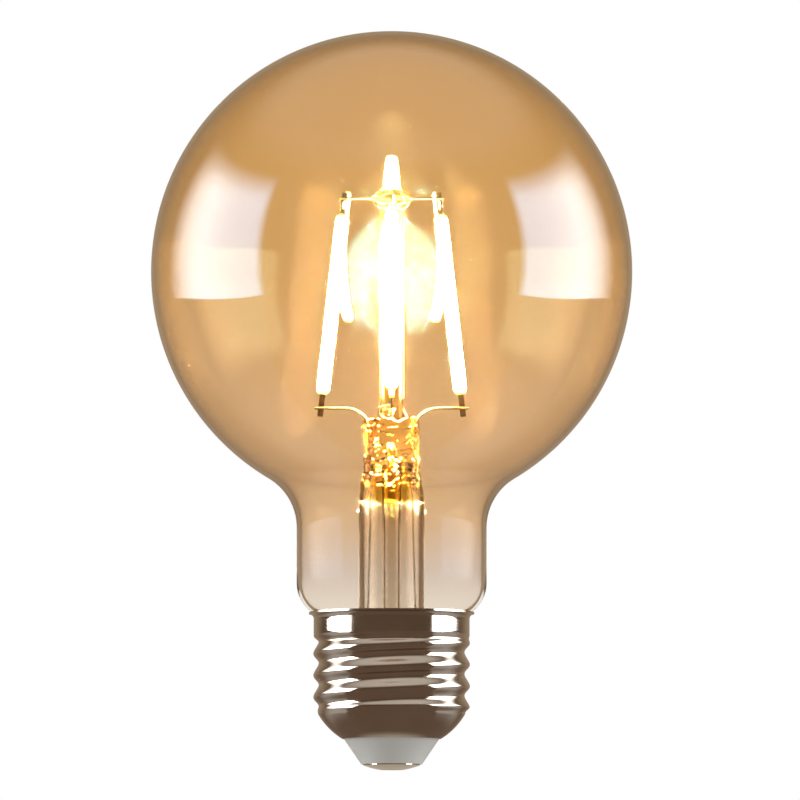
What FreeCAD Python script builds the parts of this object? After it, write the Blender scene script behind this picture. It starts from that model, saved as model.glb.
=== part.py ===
"""Amber globe bulb: four light filaments on a glass stem, in a blown globe with a rolled screw cap.

Sizes are in millimetres. +Z runs up the bulb's axis, -Y is the front and +X is to the right.
The origin is the middle of the flat on the centre contact, at the foot of the cap.
"""
import math
import os

import FreeCAD
import Part
from FreeCAD import Placement, Rotation, Vector

# Blown globe with its neck, drawn in at the foot
overall_length = 124.0
globe_diameter = 80.8
globe_wall = 0.8
neck_diameter = 31.8
neck_root_radius = 9.8
neck_shoulder_radius = 6.0
seal_diameter = 22.8
seal_root_radius = 1.5
seal_foot = 18.5

# Stem: flared tube pressed flat at its top, and the tube that the bulb was pumped through
stem_diameter = 11.0
stem_wall = 0.9
stem_flare_radius = 4.6
press_top = 58.8
press_height = 5.5
press_shoulder = 8.5
press_top_width = 9.6
press_waist_width = 8.8
press_thickness = 4.2
press_slit_width = 5.2
press_slit = 0.9
press_swell = 0.05
exhaust_diameter = 3.2
exhaust_bore = 2.2
exhaust_tip = 14.2
exhaust_depth = 2.0
blow_hole_diameter = 1.8
blow_hole_offset = 1.2

# Centre rod and the bead that holds the upper wires
rod_diameter = 3.9
bead_diameter = 6.1
bead_height = 3.1
rod_dome = 0.5

# Light filaments: straight coated sticks that stand further out at the foot
filament_length = 38.0
filament_foot_height = 59.2
filament_foot_radius = 12.0
filament_top_radius = 7.8
coat_diameter = 2.1
coat_tip_diameter = 1.2
coat_tip_length = 1.4
tab_show = 3.8
tab_sink = 1.2
tab_width = 0.95
tab_thickness = 0.25
tab_slot_width = 0.35
tab_slot_length = 1.3
tab_slot_offset = 2.1

# Wires
wire_diameter = 0.42
lower_weld = 1.4
upper_weld = 1.0
wire_overhang = 0.9
weld_sink = 0.12
lead_spread = 3.5
branch_start = 3.4
front_branch_exit = 2.2
rear_branch_exit = 3.1
solder_tail = 0.6

# Screw cap: rolled shell with a flared rim, plain skirt, thread and cone
shell_wall = 0.3
rim_height = 26.35
rim_diameter = 27.7
skirt_diameter = 26.1
thread_major = 26.2
thread_minor = 24.4
thread_pitch = 3.629
thread_top = 22.5
thread_top_fade = 1.2
thread_bottom = 9.3
thread_bottom_fade = 1.3
thread_left_crest = 15.9
thread_steps = 6
cone_top_diameter = 24.6
cone_foot_diameter = 16.6
cone_foot = 5.2
cone_bulge = 0.35

# Insulator and centre contact
insulator_top_diameter = 16.0
insulator_foot_diameter = 10.2
insulator_foot = 0.95
insulator_flange = 1.9
insulator_floor = 6.0
collar_diameter = 13.0
collar_wall = 1.5
contact_diameter = 9.6
contact_flat = 4.0
contact_dome = 0.8
contact_recess = 0.3
shank_diameter = 2.4
shank_length = 5.4

# Driver in the cap
board_seat = 8.0
board_diameter = 19.2
board_thickness = 1.0
cement_height = 2.4
capacitor_diameter = 5.0
capacitor_height = 7.5
capacitor_groove = 0.3
component_circle = 6.0
resistor_diameter = 2.2
resistor_length = 5.5
rectifier_size = (4.0, 3.4, 1.6)
chip_size = (4.4, 2.5, 1.5)
leg_width = 0.6
leg_reach = 0.9
leg_thickness = 0.25
neutral_exit = 7.8
neutral_rise = 1.2

# Fits
rim_clearance = 0.1
hole_clearance = 0.05
recess_clearance = 0.05
flange_clearance = 0.05
wall_clearance = 0.1
solder_clearance = 0.4

UP = Vector(0, 0, 1)
ORIGIN = Vector(0, 0, 0)
wire_radius = wire_diameter / 2
weld_offset = tab_thickness / 2 + wire_radius
weld_height = filament_foot_height + lower_weld
lead_foot = stem_diameter / 2 - stem_wall - wall_clearance - wire_diameter


def arc(centre, radius, first, last):
    """Three points of an arc in the radius and height plane, between two angles in degrees."""
    angles = [math.radians(a) for a in (first, (first + last) / 2, last)]
    return tuple((centre[0] + radius * math.cos(a), centre[1] + radius * math.sin(a)) for a in angles)


def turned(*path):
    """Solid of revolution about the axis. The closed path holds points, and arcs of three points."""
    def at(p):
        return Vector(p[0], 0, p[1])

    edges = []
    runs = [step if isinstance(step[0], tuple) else (step,) for step in path]
    for run, after in zip(runs, runs[1:] + runs[:1]):
        if len(run) == 3:
            edges.append(Part.Arc(*[at(p) for p in run]).toShape())
        if (at(run[-1]) - at(after[0])).Length > 1e-6:
            edges.append(Part.LineSegment(at(run[-1]), at(after[0])).toShape())
    return Part.Face(Part.Wire(edges)).revolve(ORIGIN, UP, 360)


def bent_wire(points, diameter=wire_diameter):
    """Round wire along straight runs, with a bend as wide as the runs allow at each corner."""
    points = [Vector(*p) for p in points]
    edges = []
    here = points[0]
    for before, corner, after in zip(points, points[1:], points[2:]):
        back = (before - corner).normalize()
        on = (after - corner).normalize()
        half_turn = (math.pi - back.getAngle(on)) / 2
        reach = 0.45 * min((before - corner).Length, (after - corner).Length)
        radius = reach / math.tan(half_turn)
        middle = (back + on).normalize()
        nearest = corner + middle * (radius / math.cos(half_turn) - radius)
        edges.append(Part.LineSegment(here, corner + back * reach).toShape())
        edges.append(Part.Arc(corner + back * reach, nearest, corner + on * reach).toShape())
        here = corner + on * reach
    edges.append(Part.LineSegment(here, points[-1]).toShape())
    start = Part.Wire(Part.makeCircle(diameter / 2, points[0], points[1] - points[0]))
    return Part.Wire(edges).makePipeShell([start], True, False)


def rod_between(foot, top, diameter):
    """Plain round bar between two points."""
    foot = Vector(*foot)
    top = Vector(*top)
    return Part.makeCylinder(diameter / 2, (top - foot).Length, foot, top - foot)


def eased(low, high, value):
    """0 below low, 1 above high and a smooth rise between them."""
    share = min(max((value - low) / (high - low), 0), 1)
    return share * share * (3 - 2 * share)


# The rim's roll and the neck's shoulder are arcs that meet with the rim clearance between them
rim_roll = (rim_diameter - skirt_diameter) / 2
rim_centre = (rim_diameter / 2, rim_height - rim_roll - shell_wall)
shoulder_radius_at = neck_diameter / 2 - neck_shoulder_radius
shoulder_reach = neck_shoulder_radius + rim_roll + shell_wall + rim_clearance
shoulder_rise = math.sqrt(shoulder_reach ** 2 - (rim_centre[0] - shoulder_radius_at) ** 2)
shoulder_height = rim_centre[1] + shoulder_rise


def globe_envelope():
    """Globe, neck and drawn-in foot: one blown wall of even thickness, open at the foot."""
    globe = (0, overall_length - globe_diameter / 2)
    root_radius_at = neck_diameter / 2 + neck_root_radius
    root_drop = math.sqrt((globe_diameter / 2 + neck_root_radius) ** 2 - root_radius_at ** 2)
    root = (root_radius_at, globe[1] - root_drop)
    root_angle = math.degrees(math.atan2(root_drop, -root_radius_at))
    shoulder = (shoulder_radius_at, shoulder_height)
    seal_radius_at = seal_diameter / 2 + seal_root_radius
    seal_run = seal_radius_at - shoulder_radius_at
    seal_drop = math.sqrt((neck_shoulder_radius + seal_root_radius) ** 2 - seal_run ** 2)
    seal = (seal_radius_at, shoulder_height - seal_drop)
    seal_angle = math.degrees(math.atan2(seal_drop, -seal_run))

    def wall_line(inset):
        return [
            (seal_diameter / 2 - inset, seal_foot),
            arc(seal, seal_root_radius + inset, 180, seal_angle),
            arc(shoulder, neck_shoulder_radius - inset, seal_angle - 180, 0),
            arc(root, neck_root_radius + inset, 180, root_angle),
            arc(globe, globe_diameter / 2 - inset, root_angle - 180, 90),
        ]

    inner = [step[::-1] if isinstance(step[0], tuple) else step for step in wall_line(globe_wall)[::-1]]
    return turned(*wall_line(0), *inner)


def press_ring(height, half_width, half_depth, squareness):
    """One level of the press in four quarters, from round (squareness 2) to soft-cornered flat (4)."""
    def at(turn):
        across = math.copysign(abs(math.cos(turn)) ** (2 / squareness), math.cos(turn))
        deep = math.copysign(abs(math.sin(turn)) ** (2 / squareness), math.sin(turn))
        return Vector(half_width * across, half_depth * deep, height)

    edges = []
    for quarter in range(4):
        turns = [math.radians(90 * quarter + 15 * step) for step in range(7)]
        if squareness == 2:
            edges.append(Part.Arc(at(turns[0]), at(turns[3]), at(turns[6])).toShape())
            continue
        along = [Vector(-math.sin(t), math.cos(t), 0) for t in (turns[0], turns[6])]
        curve = Part.BSplineCurve()
        curve.interpolate(Points=[at(t) for t in turns], InitialTangent=along[0], FinalTangent=along[1])
        edges.append(curve.toShape())
    return Part.Wire(edges)


def oval(height, half_width, half_depth):
    """One level of the hollow under the press: a circle where the tube ends, and flatter above."""
    if half_width == half_depth:
        return Part.Wire(Part.makeCircle(half_width, Vector(0, 0, height), UP))
    return Part.Wire(Part.Ellipse(Vector(0, 0, height), half_width, half_depth).toShape())


def stem_flare(wires):
    """Clear tube, flared at the foot to meet the neck and pressed flat round the wires at the top."""
    outer = stem_diameter / 2
    inner = outer - stem_wall
    waist = press_top - press_height
    tube_top = waist - press_shoulder
    flare = (outer + stem_flare_radius, seal_foot + stem_flare_radius)
    tube = turned(
        (inner, tube_top),
        arc(flare, stem_flare_radius + stem_wall, 180, 270),
        (seal_diameter / 2, seal_foot - stem_wall),
        (seal_diameter / 2, seal_foot),
        arc(flare, stem_flare_radius, 270, 180),
        (outer, tube_top),
    )

    blank_rings = []
    cavity_rings = []
    for step in range(4):
        height = tube_top + press_shoulder * step / 3
        share = eased(0, 3, step)
        round_part = (outer + press_swell) * (1 - share)
        half_width = round_part + press_waist_width / 2 * share
        half_depth = round_part + press_thickness / 2 * share
        blank_rings.append(press_ring(height, half_width, half_depth, 2 + 2 * share))
        round_part = (inner - press_swell) * (1 - share)
        half_width = round_part + press_slit_width / 2 * share
        half_depth = round_part + press_slit / 2 * share
        cavity_rings.append(oval(height, half_width, half_depth))
    blank_rings.append(press_ring(press_top, press_top_width / 2, press_thickness / 2, 4))
    press = Part.makeLoft(blank_rings, True, False).cut(Part.makeLoft(cavity_rings, True, False))

    socket_top = waist + exhaust_depth
    socket_foot = tube_top + press_shoulder / 3
    socket = Part.makeCylinder(exhaust_diameter / 2, socket_top - socket_foot, Vector(0, 0, socket_foot))
    hole_axis = Vector(blow_hole_offset, -press_thickness, exhaust_depth)
    hole_foot = Vector(0, 0, socket_top - blow_hole_diameter / 2)
    blow_hole = Part.makeCylinder(blow_hole_diameter / 2, press_thickness, hole_foot, hole_axis)
    stem = tube.fuse(press.cut(socket).cut(blow_hole)).removeSplitter()
    return largest(stem.cut(wires))


def exhaust_tube():
    """Thin tube from the press down into the cap, with its tip melted to a round end."""
    outer = exhaust_diameter / 2
    inner = exhaust_bore / 2
    top = press_top - press_height + exhaust_depth
    tip = (0, exhaust_tip + outer)
    return turned((inner, top), arc(tip, inner, 0, -90), arc(tip, outer, -90, 0), (outer, top))


def centre_rod(wires):
    """Glass rod that stands on the press, with its top melted to a bead round the upper wires."""
    radius = rod_diameter / 2
    low = bead_centre - bead_height / 2
    high = bead_centre + bead_height / 2
    bead = ((radius, low), (bead_diameter / 2, bead_centre), (radius, high))
    ball = (radius ** 2 + rod_dome ** 2) / (2 * rod_dome)
    dome_edge = math.degrees(math.asin((ball - rod_dome) / ball))
    dome = arc((0, high + rod_dome - ball), ball, dome_edge, 90)
    return turned((0, press_top), (radius, press_top), bead, dome).cut(wires)


# Filaments lie in upright planes through the axis, one on each side
foot_to_top = filament_foot_radius - filament_top_radius
filament_rise = math.sqrt(filament_length ** 2 - foot_to_top ** 2)
filament_lean = math.degrees(math.asin(foot_to_top / filament_length))
side_wire_height = filament_foot_height + filament_rise - upper_weld
depth_wire_height = side_wire_height - wire_diameter + weld_sink
bead_centre = (side_wire_height + depth_wire_height) / 2
sides = {"right": 0, "rear": 90, "left": 180, "front": 270}


def set_out(shape, bearing):
    """Lean a piece that stands on the origin as a filament, and set it out to its side of the axis."""
    foot = Vector(filament_foot_radius, 0, filament_foot_height)
    lean = Placement(foot, Rotation(Vector(0, 1, 0), -filament_lean))
    shape = shape.copy()
    shape.Placement = Placement(ORIGIN, Rotation(UP, bearing)).multiply(lean)
    return shape


def filament_tab(at_top):
    """Flat metal end of a filament, with its root sunk in the coat. The upper one has a slot."""
    corner = Vector(-tab_width / 2, -tab_thickness / 2, 0)
    blank = Part.makeBox(tab_width, tab_thickness, tab_show + tab_sink, corner)
    if not at_top:
        return blank
    straight = tab_slot_length - tab_slot_width
    low = Vector(0, -tab_thickness, tab_slot_offset - straight / 2)
    across = Vector(0, 1, 0)
    slot = Part.makeCylinder(tab_slot_width / 2, 2 * tab_thickness, low, across)
    slot = slot.fuse(Part.makeCylinder(tab_slot_width / 2, 2 * tab_thickness, low + UP * straight, across))
    middle = Part.makeBox(tab_slot_width, 2 * tab_thickness, straight, low - Vector(tab_slot_width / 2, 0, 0))
    tab = blank.cut(slot.fuse(middle))
    tab.Placement = Placement(UP * filament_length, Rotation(Vector(0, 1, 0), 180))
    return tab


def filament_coat(tabs):
    """Straight round stick with drawn-in tips, cast round the ends of its tabs."""
    radius = coat_diameter / 2
    tip = coat_tip_diameter / 2
    low = tab_show
    high = filament_length - tab_show
    shoulder = tip + (radius - tip) * 0.75
    foot_tip = ((tip, low), (shoulder, low + coat_tip_length * 0.4), (radius, low + coat_tip_length))
    top_tip = ((radius, high - coat_tip_length), (shoulder, high - coat_tip_length * 0.4), (tip, high))
    return turned((0, low), foot_tip, top_tip, (0, high)).cut(tabs)


def lead_wire(side):
    """Wire from the board up through the stem and the press, bent out to a side filament's foot."""
    tube_top = press_top - press_height - press_shoulder
    return bent_wire([
        (side * lead_foot, -weld_offset, board_seat - solder_tail),
        (side * lead_foot, -weld_offset, seal_foot + stem_flare_radius),
        (side * lead_spread, -weld_offset, tube_top),
        (side * lead_spread, -weld_offset, weld_height),
        (side * (filament_foot_radius + wire_overhang), -weld_offset, weld_height),
    ])


def branch_wire(side):
    """Wire that leaves a lead inside the press and runs out to the front or the rear filament's foot.

    The front one, off the left lead, comes up beside the rod. The rear one, off the right lead,
    comes up behind its own lead.
    """
    front = side < 0
    depth = press_thickness / 4
    exit_at = front_branch_exit if front else rear_branch_exit
    turn_at = exit_at if front else (exit_at + weld_offset) / 2
    turn_depth = 2 * depth if front else 3 * depth
    run = filament_foot_radius / 2
    return bent_wire([
        (side * lead_spread, -weld_offset, press_top - branch_start),
        (side * exit_at, side * depth, press_top),
        (side * turn_at, side * turn_depth, weld_height),
        (side * weld_offset, side * run, weld_height),
        (side * weld_offset, side * (filament_foot_radius + wire_overhang), weld_height),
    ])


def largest(shape):
    """The main solid of a cut, without slivers."""
    return max(shape.Solids, key=lambda s: s.Volume)


def upper_wires():
    """Two straight wires welded where they cross in the bead, reaching past the filaments' upper tabs."""
    reach = filament_top_radius + wire_overhang
    side_ends = [(side * reach, -weld_offset, side_wire_height) for side in (-1, 1)]
    depth_ends = [(weld_offset, side * reach, depth_wire_height) for side in (-1, 1)]
    return rod_between(*side_ends, wire_diameter).fuse(rod_between(*depth_ends, wire_diameter))


def thread_ring(height, inset):
    """One level of the rolled thread: a circle set off the axis, and turned with the height.

    The circle touches the crest on one side and the root on the other. Both fade into the skirt at
    the top and into the cone at the foot, where the circle comes back to the axis.
    """
    at_top = eased(thread_top - thread_top_fade, thread_top, height)
    at_foot = 1 - eased(thread_bottom, thread_bottom + thread_bottom_fade, height)
    crest = thread_major / 2
    crest += (skirt_diameter / 2 - crest) * at_top + (cone_top_diameter / 2 - crest) * at_foot
    root = thread_minor / 2
    root += (skirt_diameter / 2 - root) * at_top + (cone_top_diameter / 2 - root) * at_foot
    offset = (crest - root) / 2
    turn = math.pi + 2 * math.pi * (height - thread_left_crest) / thread_pitch
    centre = Vector(offset * math.cos(turn), offset * math.sin(turn), height)
    return Part.Wire(Part.makeCircle((crest + root) / 2 - inset, centre, UP))


def screw_shell():
    """Thin metal shell: rolled-out rim, plain skirt, round thread and a bulged cone to the insulator."""
    skirt = skirt_diameter / 2
    lip = turned(
        (skirt - shell_wall, thread_top),
        (skirt, thread_top),
        arc(rim_centre, rim_roll, 180, 90),
        arc(rim_centre, rim_roll + shell_wall, 90, 180),
    )
    levels = math.ceil((thread_top - thread_bottom) / thread_pitch * thread_steps)
    heights = [thread_bottom + (thread_top - thread_bottom) * i / levels for i in range(levels + 1)]
    outside = Part.makeLoft([thread_ring(h, 0) for h in heights], True, False)
    inside = Part.makeLoft([thread_ring(h, shell_wall) for h in heights], True, False)
    thread = outside.cut(inside)
    cone = turned(*cone_line(0), *[step[::-1] for step in cone_line(shell_wall)])
    return lip.fuse([thread, cone])


def cone_line(inset):
    """The shell's cone as one bulged arc, at the outside or a wall's thickness inside it."""
    top = (cone_top_diameter / 2, thread_bottom)
    foot = (cone_foot_diameter / 2, cone_foot)
    run = math.hypot(top[0] - foot[0], top[1] - foot[1])
    out = ((top[1] - foot[1]) / run, -(top[0] - foot[0]) / run)
    bow = cone_bulge - inset
    middle = ((top[0] + foot[0]) / 2 + out[0] * bow, (top[1] + foot[1]) / 2 + out[1] * bow)
    return [((top[0] - inset, top[1]), middle, (foot[0] - inset / out[0], foot[1]))]


def cap_insulator():
    """Cone moulded into the shell's foot: it holds the contact below and seats the board above."""
    shell_top, _, shell_foot = cone_line(shell_wall)[0]
    throat = shell_foot[0] - flange_clearance
    slope = (shell_top[0] - shell_foot[0]) / (shell_top[1] - shell_foot[1])
    flange = throat + insulator_flange * slope
    collar = collar_diameter / 2
    bore = shank_diameter / 2 + hole_clearance
    recess = contact_diameter / 2 + recess_clearance
    return turned(
        (bore, insulator_foot + contact_recess),
        (recess, insulator_foot + contact_recess),
        (recess, insulator_foot),
        (insulator_foot_diameter / 2, insulator_foot),
        (insulator_top_diameter / 2, cone_foot),
        (throat, cone_foot),
        (flange, cone_foot + insulator_flange),
        (collar, cone_foot + insulator_flange),
        (collar, board_seat),
        (collar - collar_wall, board_seat),
        (collar - collar_wall, insulator_floor),
        (bore, insulator_floor),
    )


def centre_contact():
    """Shallow pressed dome with a small flat, and the hollow shank that rivets it to the insulator."""
    edge = contact_diameter / 2
    flat = contact_flat / 2
    ball = ((edge ** 2 - flat ** 2) / contact_dome + contact_dome) / 2
    ball = math.hypot(ball - contact_dome, edge) if ball > edge else edge
    start = math.degrees(math.asin(flat / ball)) - 90
    end = math.degrees(math.asin(edge / ball)) - 90
    top = insulator_foot + contact_recess
    bore = wire_radius + hole_clearance
    floor = (top + contact_dome) / 2
    centre = (0, ball * math.cos(math.radians(start + 90)))
    return turned(
        (0, 0),
        arc(centre, ball, start, end),
        (edge, top),
        (shank_diameter / 2, top),
        (shank_diameter / 2, top + shank_length),
        (bore, top + shank_length),
        (bore, floor),
        (0, floor),
    )


def basing_cement(glass):
    """Ring between the drawn-in neck and the skirt, shaped by both."""
    blank = turned(
        (seal_diameter / 2 - globe_wall / 2, thread_top),
        (skirt_diameter / 2 - shell_wall, thread_top),
        (skirt_diameter / 2 - shell_wall, thread_top + cement_height),
        (seal_diameter / 2 - globe_wall / 2, thread_top + cement_height),
    )
    rest = blank.cut(glass)
    return max(rest.Solids, key=lambda s: s.BoundBox.XLength)


def driver_board(passing):
    """Round board on the insulator's collar, bored for each wire that passes it."""
    board = Part.makeCylinder(board_diameter / 2, board_thickness, Vector(0, 0, board_seat))
    for x, y in passing:
        hole = Part.makeCylinder(wire_radius + hole_clearance, board_thickness, Vector(x, y, board_seat))
        board = board.cut(hole)
    return board


def chip(size, middle, legs):
    """Moulded component with a bevelled top, on small bent legs along its two long sides."""
    length, depth, height = size
    top = board_seat + board_thickness
    body = Part.makeBox(length, depth, height - leg_thickness, Vector(-length / 2, -depth / 2, leg_thickness))
    rim = [e for e in body.Edges if min(v.Z for v in e.Vertexes) > height - 1e-6]
    body = body.makeChamfer(leg_thickness, rim)
    pieces = []
    for row in (-1, 1):
        for i in range(legs):
            x = (i - (legs - 1) / 2) * length / legs - leg_width / 2
            foot = Vector(x, min(row * (depth / 2 + leg_reach), row * (depth / 2 - leg_thickness)), 0)
            pieces.append(Part.makeBox(leg_width, leg_reach + leg_thickness, leg_thickness, foot))
            rise = Vector(x, min(row * depth / 2, row * (depth / 2 + leg_thickness)), 0)
            pieces.append(Part.makeBox(leg_width, leg_thickness, height / 2, rise))
    solid = body.fuse(pieces).removeSplitter()
    solid.translate(Vector(middle[0], middle[1], top))
    return solid


def smoothing_capacitor(middle):
    """Upright can with a rolled groove near its foot."""
    radius = capacitor_diameter / 2
    groove = (radius, 3 * capacitor_groove)
    can = turned(
        (0, 0),
        (radius, 0),
        arc((groove[0], groove[1] + capacitor_groove), capacitor_groove, 270, 90),
        (radius, capacitor_height),
        (0, capacitor_height),
    )
    can.translate(Vector(middle[0], middle[1], board_seat + board_thickness))
    return can


def resistor_holes(middle):
    """Where the upright resistor's two legs pass the board."""
    return [(middle[0], middle[1]), (middle[0] + resistor_diameter, middle[1])]


def fusible_resistor(middle):
    """Upright wire-ended resistor: a waisted body with one leg bent back down beside it."""
    radius = resistor_diameter / 2
    foot = board_seat + board_thickness + resistor_diameter / 2
    top = foot + resistor_length
    cap = resistor_length / 5
    waist = radius * 0.85
    body = turned(
        (0, foot), (radius, foot), (radius, foot + cap), (waist, foot + 1.3 * cap),
        (waist, top - 1.3 * cap), (radius, top - cap), (radius, top), (0, top),
    )
    body.translate(Vector(middle[0], middle[1], 0))
    near, far = resistor_holes(middle)
    low = board_seat - solder_tail
    lower_leg = rod_between((*near, low), (*near, foot + cap), wire_diameter)
    over = top + resistor_diameter / 2
    upper_leg = bent_wire([(*near, top - cap), (*near, over), (*far, over), (*far, low)])
    return body.fuse([lower_leg, upper_leg])


def live_wire():
    """Short wire from the contact's hollow shank up through the middle of the board."""
    foot = insulator_foot + contact_recess + shank_length / 2
    return rod_between((0, 0, foot), (0, 0, board_seat + board_thickness + solder_tail), wire_diameter)


def neutral_wire():
    """Wire from the board out to the inside of the shell."""
    height = board_seat + board_thickness + neutral_rise
    reach = thread_minor / 2 - shell_wall - wall_clearance
    return bent_wire([
        (-neutral_exit, 0, board_seat - solder_tail), (-neutral_exit, 0, height), (-reach, 0, height),
    ])


nodes = {}
pressed_in = []
for side, lead_side, branch_side in ((-1, "left", "front"), (1, "right", "rear")):
    lead = lead_wire(side)
    branch = branch_wire(side)
    nodes["lead_wire_" + lead_side] = lead
    nodes["branch_wire_" + branch_side] = largest(branch.cut(lead))
    pressed_in.append(lead.fuse(branch))
nodes["upper_wires"] = upper_wires()

for side, bearing in sides.items():
    tabs = {"upper": filament_tab(True), "lower": filament_tab(False)}
    nodes["led_filament_" + side] = set_out(filament_coat(Part.makeCompound(list(tabs.values()))), bearing)
    for end, tab in tabs.items():
        holder = Part.makeCompound([tab])
        nodes[end + "_tab_" + side] = set_out(holder, bearing)

nodes["globe_envelope"] = globe_envelope()
nodes["stem_flare"] = stem_flare(pressed_in)
nodes["exhaust_tube"] = exhaust_tube()
nodes["centre_rod"] = centre_rod(nodes["upper_wires"])
nodes["screw_shell"] = screw_shell()
nodes["cap_insulator"] = cap_insulator()
nodes["centre_contact"] = centre_contact()
nodes["basing_cement"] = basing_cement(nodes["globe_envelope"])

capacitor_at = (0, component_circle)
resistor_at = (-resistor_diameter / 2, -collar_diameter / 2 - wire_radius - solder_clearance)
rectifier_at = (lead_foot + wire_radius + solder_clearance + rectifier_size[0] / 2, 0)
passing = [(0, 0), (-neutral_exit, 0), (-lead_foot, -weld_offset), (lead_foot, -weld_offset)]
nodes["driver_board"] = driver_board(passing + resistor_holes(resistor_at))
nodes["bridge_rectifier"] = chip(rectifier_size, rectifier_at, 2)
nodes["driver_chip"] = chip(chip_size, (-component_circle, -component_circle / 2), 3)
nodes["smoothing_capacitor"] = smoothing_capacitor(capacitor_at)
nodes["fusible_resistor"] = fusible_resistor(resistor_at)
nodes["live_wire"] = live_wire()
nodes["neutral_wire"] = neutral_wire()

os.makedirs("parts", exist_ok=True)
for name, shape in nodes.items():
    shape.exportStep("parts/" + name + ".step")
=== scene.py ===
"""Looks of an amber globe bulb with four light filaments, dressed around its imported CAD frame.

Lengths are in metres. +Z runs up the bulb's axis, -Y is the front, and the centre contact stands on the
floor at 0.
"""
import math

import bmesh
import bpy
from mathutils import Matrix, Vector, noise


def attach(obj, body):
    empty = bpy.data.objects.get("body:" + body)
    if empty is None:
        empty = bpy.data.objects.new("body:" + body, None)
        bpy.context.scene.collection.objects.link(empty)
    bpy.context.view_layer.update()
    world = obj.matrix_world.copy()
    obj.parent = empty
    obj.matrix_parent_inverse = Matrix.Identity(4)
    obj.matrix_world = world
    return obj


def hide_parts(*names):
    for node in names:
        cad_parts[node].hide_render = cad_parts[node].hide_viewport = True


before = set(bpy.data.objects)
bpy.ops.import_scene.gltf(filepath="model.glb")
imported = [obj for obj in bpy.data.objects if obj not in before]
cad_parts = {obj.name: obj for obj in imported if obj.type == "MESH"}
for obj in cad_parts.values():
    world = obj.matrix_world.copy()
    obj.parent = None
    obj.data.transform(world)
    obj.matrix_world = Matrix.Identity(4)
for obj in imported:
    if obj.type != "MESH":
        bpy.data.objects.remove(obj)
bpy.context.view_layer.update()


# Globe: soda-lime glass, blown in a mould and coated amber. One even wall runs from the globe through the neck
# to the drawn-in foot, where it is melted to the stem. The coat is denser on the globe and thins out below.
MM = 0.001
globe_wall = 0.8 * MM
globe_radius = 40.4 * MM
globe_centre = (0, 83.6 * MM)
neck_root = (25.7 * MM, 40.478 * MM)
neck_root_turn = 59.21
neck_shoulder = (9.9 * MM, 31.27 * MM)
seal_root = (12.9 * MM, 24.396 * MM)
seal_turn = 66.42
seal_radius = 11.4 * MM
seal_foot = 18.5 * MM
weld_gap = 0.0005 * MM
sharp_edge = math.radians(40)


def linear(hex_colour):
    """An sRGB hex colour as the linear colour that a shader takes."""
    channels = [int(hex_colour[i:i + 2], 16) / 255 for i in (1, 3, 5)]
    return (*[c / 12.92 if c <= 0.04045 else ((c + 0.055) / 1.055) ** 2.4 for c in channels], 1)


def add_node(tree, kind, inputs=None, **settings):
    """Add a node with its settings, and link or set its inputs."""
    made = tree.nodes.new(kind)
    for name, value in settings.items():
        setattr(made, name, value)
    for socket, value in (inputs or {}).items():
        if isinstance(value, bpy.types.NodeSocket):
            tree.links.new(value, made.inputs[socket])
        else:
            made.inputs[socket].default_value = value
    return made


def new_material(name):
    """An empty node material and its tree."""
    material = bpy.data.materials.new(name)
    material.use_nodes = True
    material.node_tree.nodes.clear()
    return material, material.node_tree


def let_lamps_through(tree, glass, tint):
    """Finish a glass material so that lamps shine through it with a tint, in place of a full shadow."""
    through = add_node(tree, "ShaderNodeBsdfTransparent", {"Color": linear(tint)})
    rays = add_node(tree, "ShaderNodeLightPath")
    lit = add_node(tree, "ShaderNodeMixShader", {
        0: rays.outputs["Is Shadow Ray"], 1: glass.outputs[0], 2: through.outputs[0],
    })
    add_node(tree, "ShaderNodeOutputMaterial", {"Surface": lit.outputs[0]})


def straight(bm, end, x, z, parts=1):
    """Carry a profile on from its end vertex to a point, in equal parts, and return the new end."""
    for part in range(parts):
        step = (Vector((x, 0, z)) - end.co) / (parts - part)
        end = bmesh.ops.extrude_vert_indiv(bm, verts=[end])["verts"][0]
        bmesh.ops.translate(bm, verts=[end], vec=step)
    return end


def arc(bm, end, centre, degrees, steps):
    """Carry a profile on from its end vertex, anticlockwise about a centre, and return the new end."""
    made = bmesh.ops.spin(bm, geom=[end], cent=(centre[0], 0, centre[1]), axis=(0, -1, 0),
                          angle=math.radians(degrees), steps=steps)
    return made["geom_last"][0]


def turn(bm, steps):
    """Spin the profile right round the axis and close its poles and seam."""
    bmesh.ops.spin(bm, geom=bm.verts[:] + bm.edges[:], cent=(0, 0, 0), axis=(0, 0, 1),
                   angle=2 * math.pi, steps=steps, use_merge=True)
    bmesh.ops.remove_doubles(bm, verts=bm.verts, dist=weld_gap)
    bmesh.ops.recalc_face_normals(bm, faces=bm.faces)


def finish_piece(bm, name, material, slot, *stands_for):
    """Make the mesh a piece of the bulb that stands for the named CAD nodes."""
    mesh = bpy.data.meshes.new(name)
    bm.to_mesh(mesh)
    bm.free()
    mesh.shade_smooth()
    mesh.set_sharp_from_angle(angle=sharp_edge)
    mesh.materials.append(material)
    piece = bpy.data.objects.new(name, mesh)
    bpy.context.scene.collection.objects.link(piece)
    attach(piece, "root")
    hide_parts(*stands_for)
    return piece


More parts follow.
